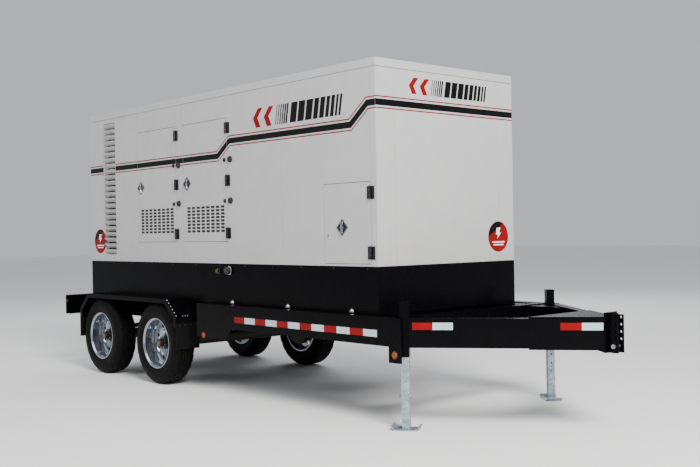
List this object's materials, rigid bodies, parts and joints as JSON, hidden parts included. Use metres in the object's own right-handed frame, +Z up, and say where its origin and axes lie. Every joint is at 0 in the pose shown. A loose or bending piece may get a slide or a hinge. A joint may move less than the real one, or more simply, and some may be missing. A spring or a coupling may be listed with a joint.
{
  "type": "towable diesel generator",
  "caption": "Towable diesel generator: a white sound-proofed enclosure on a black fuel tank, on a tandem-axle trailer with leg jacks and a perforated hitch channel",
  "frame": {"origin": "on the ground, below the middle of the overall box", "axes": "+X forward to the hitch, +Y to the left side, +Z up; the connection door is on the right side (-Y)"},
  "size_m": [6.188, 1.98, 2.66],
  "materials": {
    "frame_black": "satin",
    "tank_black": "satin",
    "panel_white": "satin",
    "louvre_white": "satin",
    "fender_black": "satin",
    "spring_steel": "matte",
    "flap_rubber": "matte",
    "tyre_rubber": "matte",
    "rim_silver": "gloss",
    "hub_black": "satin",
    "bolt_zinc": "satin",
    "galvanised": "matte",
    "amber_lens": "gloss",
    "red_lens": "gloss",
    "latch_chrome": "polished",
    "hinge_dark": "satin",
    "socket_rubber": "matte",
    "cap_plastic": "matte",
    "engine_paint": "satin",
    "alternator_grey": "satin",
    "radiator_black": "matte",
    "fan_plastic": "matte",
    "muffler_steel": "matte",
    "cabinet_blue": "satin",
    "output_grey": "satin",
    "battery_black": "matte",
    "door_white": "satin"
  },
  "bodies": {
    "trailer": {"main_beams": "frame_black", "crossmembers": "frame_black", "side_rails": "frame_black", "rear_bumper": "frame_black", "tongue_rail_right": "frame_black", "tongue_rail_left": "frame_black", "tongue_nose": "frame_black", "hitch_channel": "frame_black", "hitch_bolt": "bolt_zinc", "fender_right": "fender_black", "fender_left": "fender_black", "mud_flaps": "flap_rubber", "leaf_springs": "spring_steel", "spring_hangers": "spring_steel", "axles": "spring_steel", "jack_sleeves": "frame_black", "marker_lights": "amber_lens", "tail_lights": "red_lens", "base_tank": "tank_black", "side_panel_right": "panel_white", "side_panel_left": "panel_white", "front_panel": "panel_white", "rear_panel": "panel_white", "roof_cap": "panel_white", "louvre_blades": "louvre_white", "door_hinges": "hinge_dark", "holdback_sockets": "socket_rubber", "engine": "engine_paint", "alternator": "alternator_grey", "radiator": "radiator_black", "muffler": "muffler_steel", "control_panel": "cabinet_blue", "output_panel": "output_grey", "batteries": "battery_black"},
    "wheel_front_right": {"tyre_front_right": "tyre_rubber", "rim_front_right": "rim_silver", "hub_front_right": "hub_black"},
    "wheel_front_left": {"tyre_front_left": "tyre_rubber", "rim_front_left": "rim_silver", "hub_front_left": "hub_black"},
    "wheel_rear_right": {"tyre_rear_right": "tyre_rubber", "rim_rear_right": "rim_silver", "hub_rear_right": "hub_black"},
    "wheel_rear_left": {"tyre_rear_left": "tyre_rubber", "rim_rear_left": "rim_silver", "hub_rear_left": "hub_black"},
    "jack_right": {"jack_leg_right": "galvanised"},
    "jack_left": {"jack_leg_left": "galvanised"},
    "door_right_rear": {"door_right_rear": "door_white"},
    "latch_right_rear": {"latch_right_rear": "latch_chrome"},
    "door_right_front": {"door_right_front": "door_white"},
    "latch_right_front": {"latch_right_front": "latch_chrome"},
    "door_left_rear": {"door_left_rear": "door_white"},
    "latch_left_rear": {"latch_left_rear": "latch_chrome"},
    "door_left_front": {"door_left_front": "door_white"},
    "latch_left_front": {"latch_left_front": "latch_chrome"},
    "door_connection": {"connection_door": "door_white"},
    "latch_connection": {"latch_connection": "latch_chrome"},
    "fan": {"fan": "fan_plastic"},
    "filler_cap": {"filler_cap": "cap_plastic"}
  },
  "joints": [
    {"name": "wheel_front_right_spin", "type": "hinge", "parent": "trailer", "child": "wheel_front_right", "pos_m": [-1.279, -0.858, 0.381], "axis": [0, 1, 0], "continuous": true},
    {"name": "wheel_front_left_spin", "type": "hinge", "parent": "trailer", "child": "wheel_front_left", "pos_m": [-1.279, 0.858, 0.381], "axis": [0, 1, 0], "continuous": true},
    {"name": "wheel_rear_right_spin", "type": "hinge", "parent": "trailer", "child": "wheel_rear_right", "pos_m": [-2.349, -0.858, 0.381], "axis": [0, 1, 0], "continuous": true},
    {"name": "wheel_rear_left_spin", "type": "hinge", "parent": "trailer", "child": "wheel_rear_left", "pos_m": [-2.349, 0.858, 0.381], "axis": [0, 1, 0], "continuous": true},
    {"name": "jack_right_lift", "type": "slide", "parent": "trailer", "child": "jack_right", "axis": [0, 0, 1], "range_m": [0, 0.24]},
    {"name": "jack_left_lift", "type": "slide", "parent": "trailer", "child": "jack_left", "axis": [0, 0, 1], "range_m": [0, 0.24]},
    {"name": "door_right_rear_hinge", "type": "hinge", "parent": "trailer", "child": "door_right_rear", "pos_m": [-1.156, -0.793, 1.8], "axis": [0, 0, 1], "range_deg": [0, 178]},
    {"name": "latch_right_rear_turn", "type": "hinge", "parent": "door_right_rear", "child": "latch_right_rear", "pos_m": [-1.81, -0.779, 1.857], "axis": [0, 1, 0], "range_deg": [0, 90]},
    {"name": "door_right_front_hinge", "type": "hinge", "parent": "trailer", "child": "door_right_front", "pos_m": [-0.316, -0.793, 1.8], "axis": [0, 0, 1], "range_deg": [0, 178]},
    {"name": "latch_right_front_turn", "type": "hinge", "parent": "door_right_front", "child": "latch_right_front", "pos_m": [-0.97, -0.779, 1.857], "axis": [0, 1, 0], "range_deg": [0, 90]},
    {"name": "door_left_rear_hinge", "type": "hinge", "parent": "trailer", "child": "door_left_rear", "pos_m": [-1.156, 0.793, 1.8], "axis": [0, 0, -1], "range_deg": [0, 178]},
    {"name": "latch_left_rear_turn", "type": "hinge", "parent": "door_left_rear", "child": "latch_left_rear", "pos_m": [-1.81, 0.779, 1.857], "axis": [0, 1, 0], "range_deg": [0, 90]},
    {"name": "door_left_front_hinge", "type": "hinge", "parent": "trailer", "child": "door_left_front", "pos_m": [-0.316, 0.793, 1.8], "axis": [0, 0, -1], "range_deg": [0, 178]},
    {"name": "latch_left_front_turn", "type": "hinge", "parent": "door_left_front", "child": "latch_left_front", "pos_m": [-0.97, 0.779, 1.857], "axis": [0, 1, 0], "range_deg": [0, 90]},
    {"name": "door_connection_hinge", "type": "hinge", "parent": "trailer", "child": "door_connection", "pos_m": [1.514, -0.793, 1.45], "axis": [0, 0, 1], "range_deg": [0, 120]},
    {"name": "latch_connection_turn", "type": "hinge", "parent": "door_connection", "child": "latch_connection", "pos_m": [1.192, -0.779, 1.422], "axis": [0, 1, 0], "range_deg": [0, 90]},
    {"name": "fan_spin", "type": "hinge", "parent": "trailer", "child": "fan", "pos_m": [1.033, 0, 1.76], "axis": [1, 0, 0], "continuous": true},
    {"name": "filler_cap_turn", "type": "hinge", "parent": "trailer", "child": "filler_cap", "pos_m": [-0.32, -0.809, 1.07], "axis": [0, 1, 0], "range_deg": [0, 90]}
  ]
}
